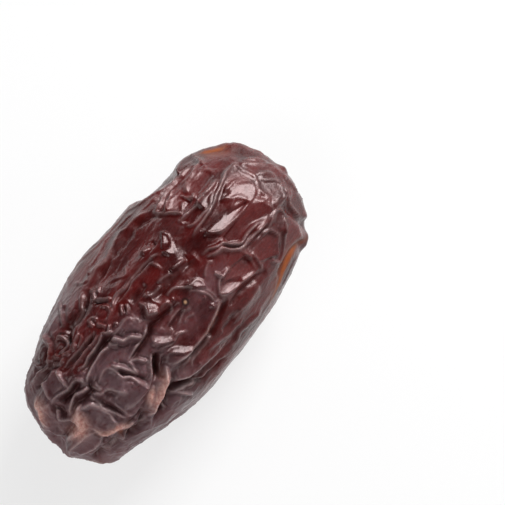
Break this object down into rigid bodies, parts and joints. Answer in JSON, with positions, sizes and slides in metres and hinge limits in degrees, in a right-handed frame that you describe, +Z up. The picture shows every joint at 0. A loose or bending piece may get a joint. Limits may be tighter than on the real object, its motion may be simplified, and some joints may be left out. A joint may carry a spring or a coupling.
{
  "type": "medjool date",
  "caption": "Whole dried medjool date with a deeply wrinkled skin, blunt tip and stem scar, lying on its side.",
  "frame": {"origin": "on the surface that the date lies on, under the middle of its bounding box", "axes": "+X along the date from the stem end to the tip, +Y across it to the far side of the picture, +Z up"},
  "size_m": [0.0498, 0.0246, 0.0232],
  "materials": {
    "skin": "gloss"
  },
  "bodies": {
    "root": {"date": "skin"}
  },
  "joints": []
}
